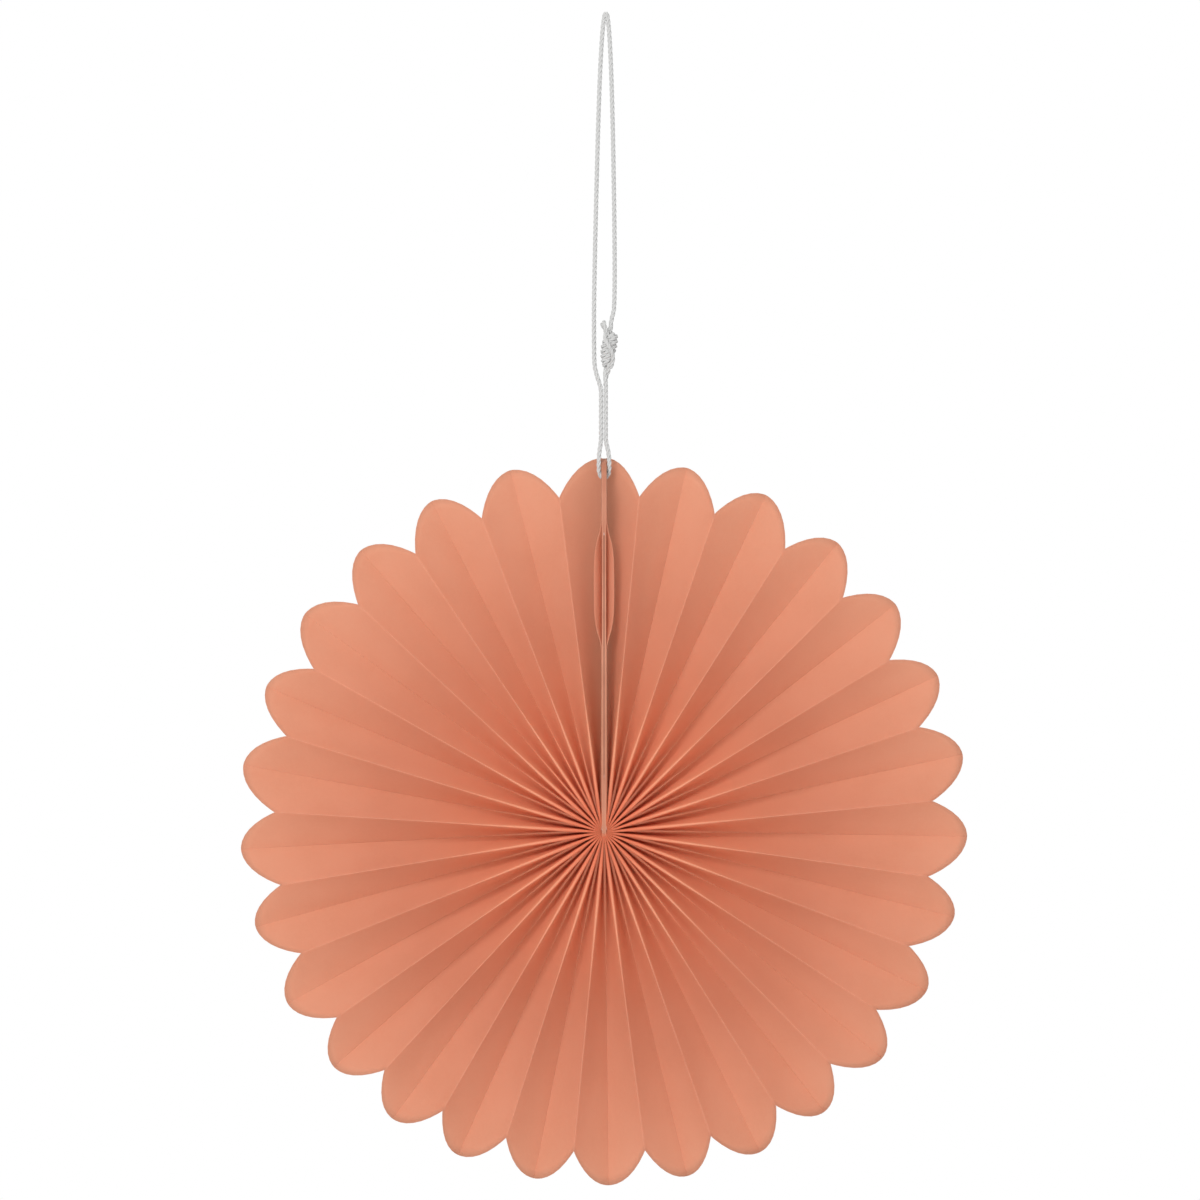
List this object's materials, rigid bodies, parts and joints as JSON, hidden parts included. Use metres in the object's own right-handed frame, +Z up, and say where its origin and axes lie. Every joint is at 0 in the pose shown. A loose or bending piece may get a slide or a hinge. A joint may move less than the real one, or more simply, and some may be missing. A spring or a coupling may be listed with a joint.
{
  "type": "paper fan rosette",
  "caption": "Round hanging decoration of pleated coral paper with scalloped petals, closed at the top by two end cards and hung by a knotted loop of white string.",
  "frame": {"origin": "middle of the paper disc, halfway through its depth, measured without the string", "axes": "+X to the right seen from the front, +Y away from the viewer through the disc's thickness, +Z up towards the cards and the string"},
  "size_m": [0.1521, 0.0101, 0.2458],
  "materials": {
    "coral_paper": "matte",
    "coral_card": "matte",
    "clear_tape": "satin",
    "sewing_thread": "matte",
    "white_string": "matte"
  },
  "bodies": {
    "root": {"pleated_fan": "coral_paper", "end_card_left": "coral_card", "end_card_right": "coral_card", "closing_tape": "clear_tape", "centre_thread": "sewing_thread", "hanging_string": "white_string", "string_knot": "white_string"}
  },
  "joints": []
}
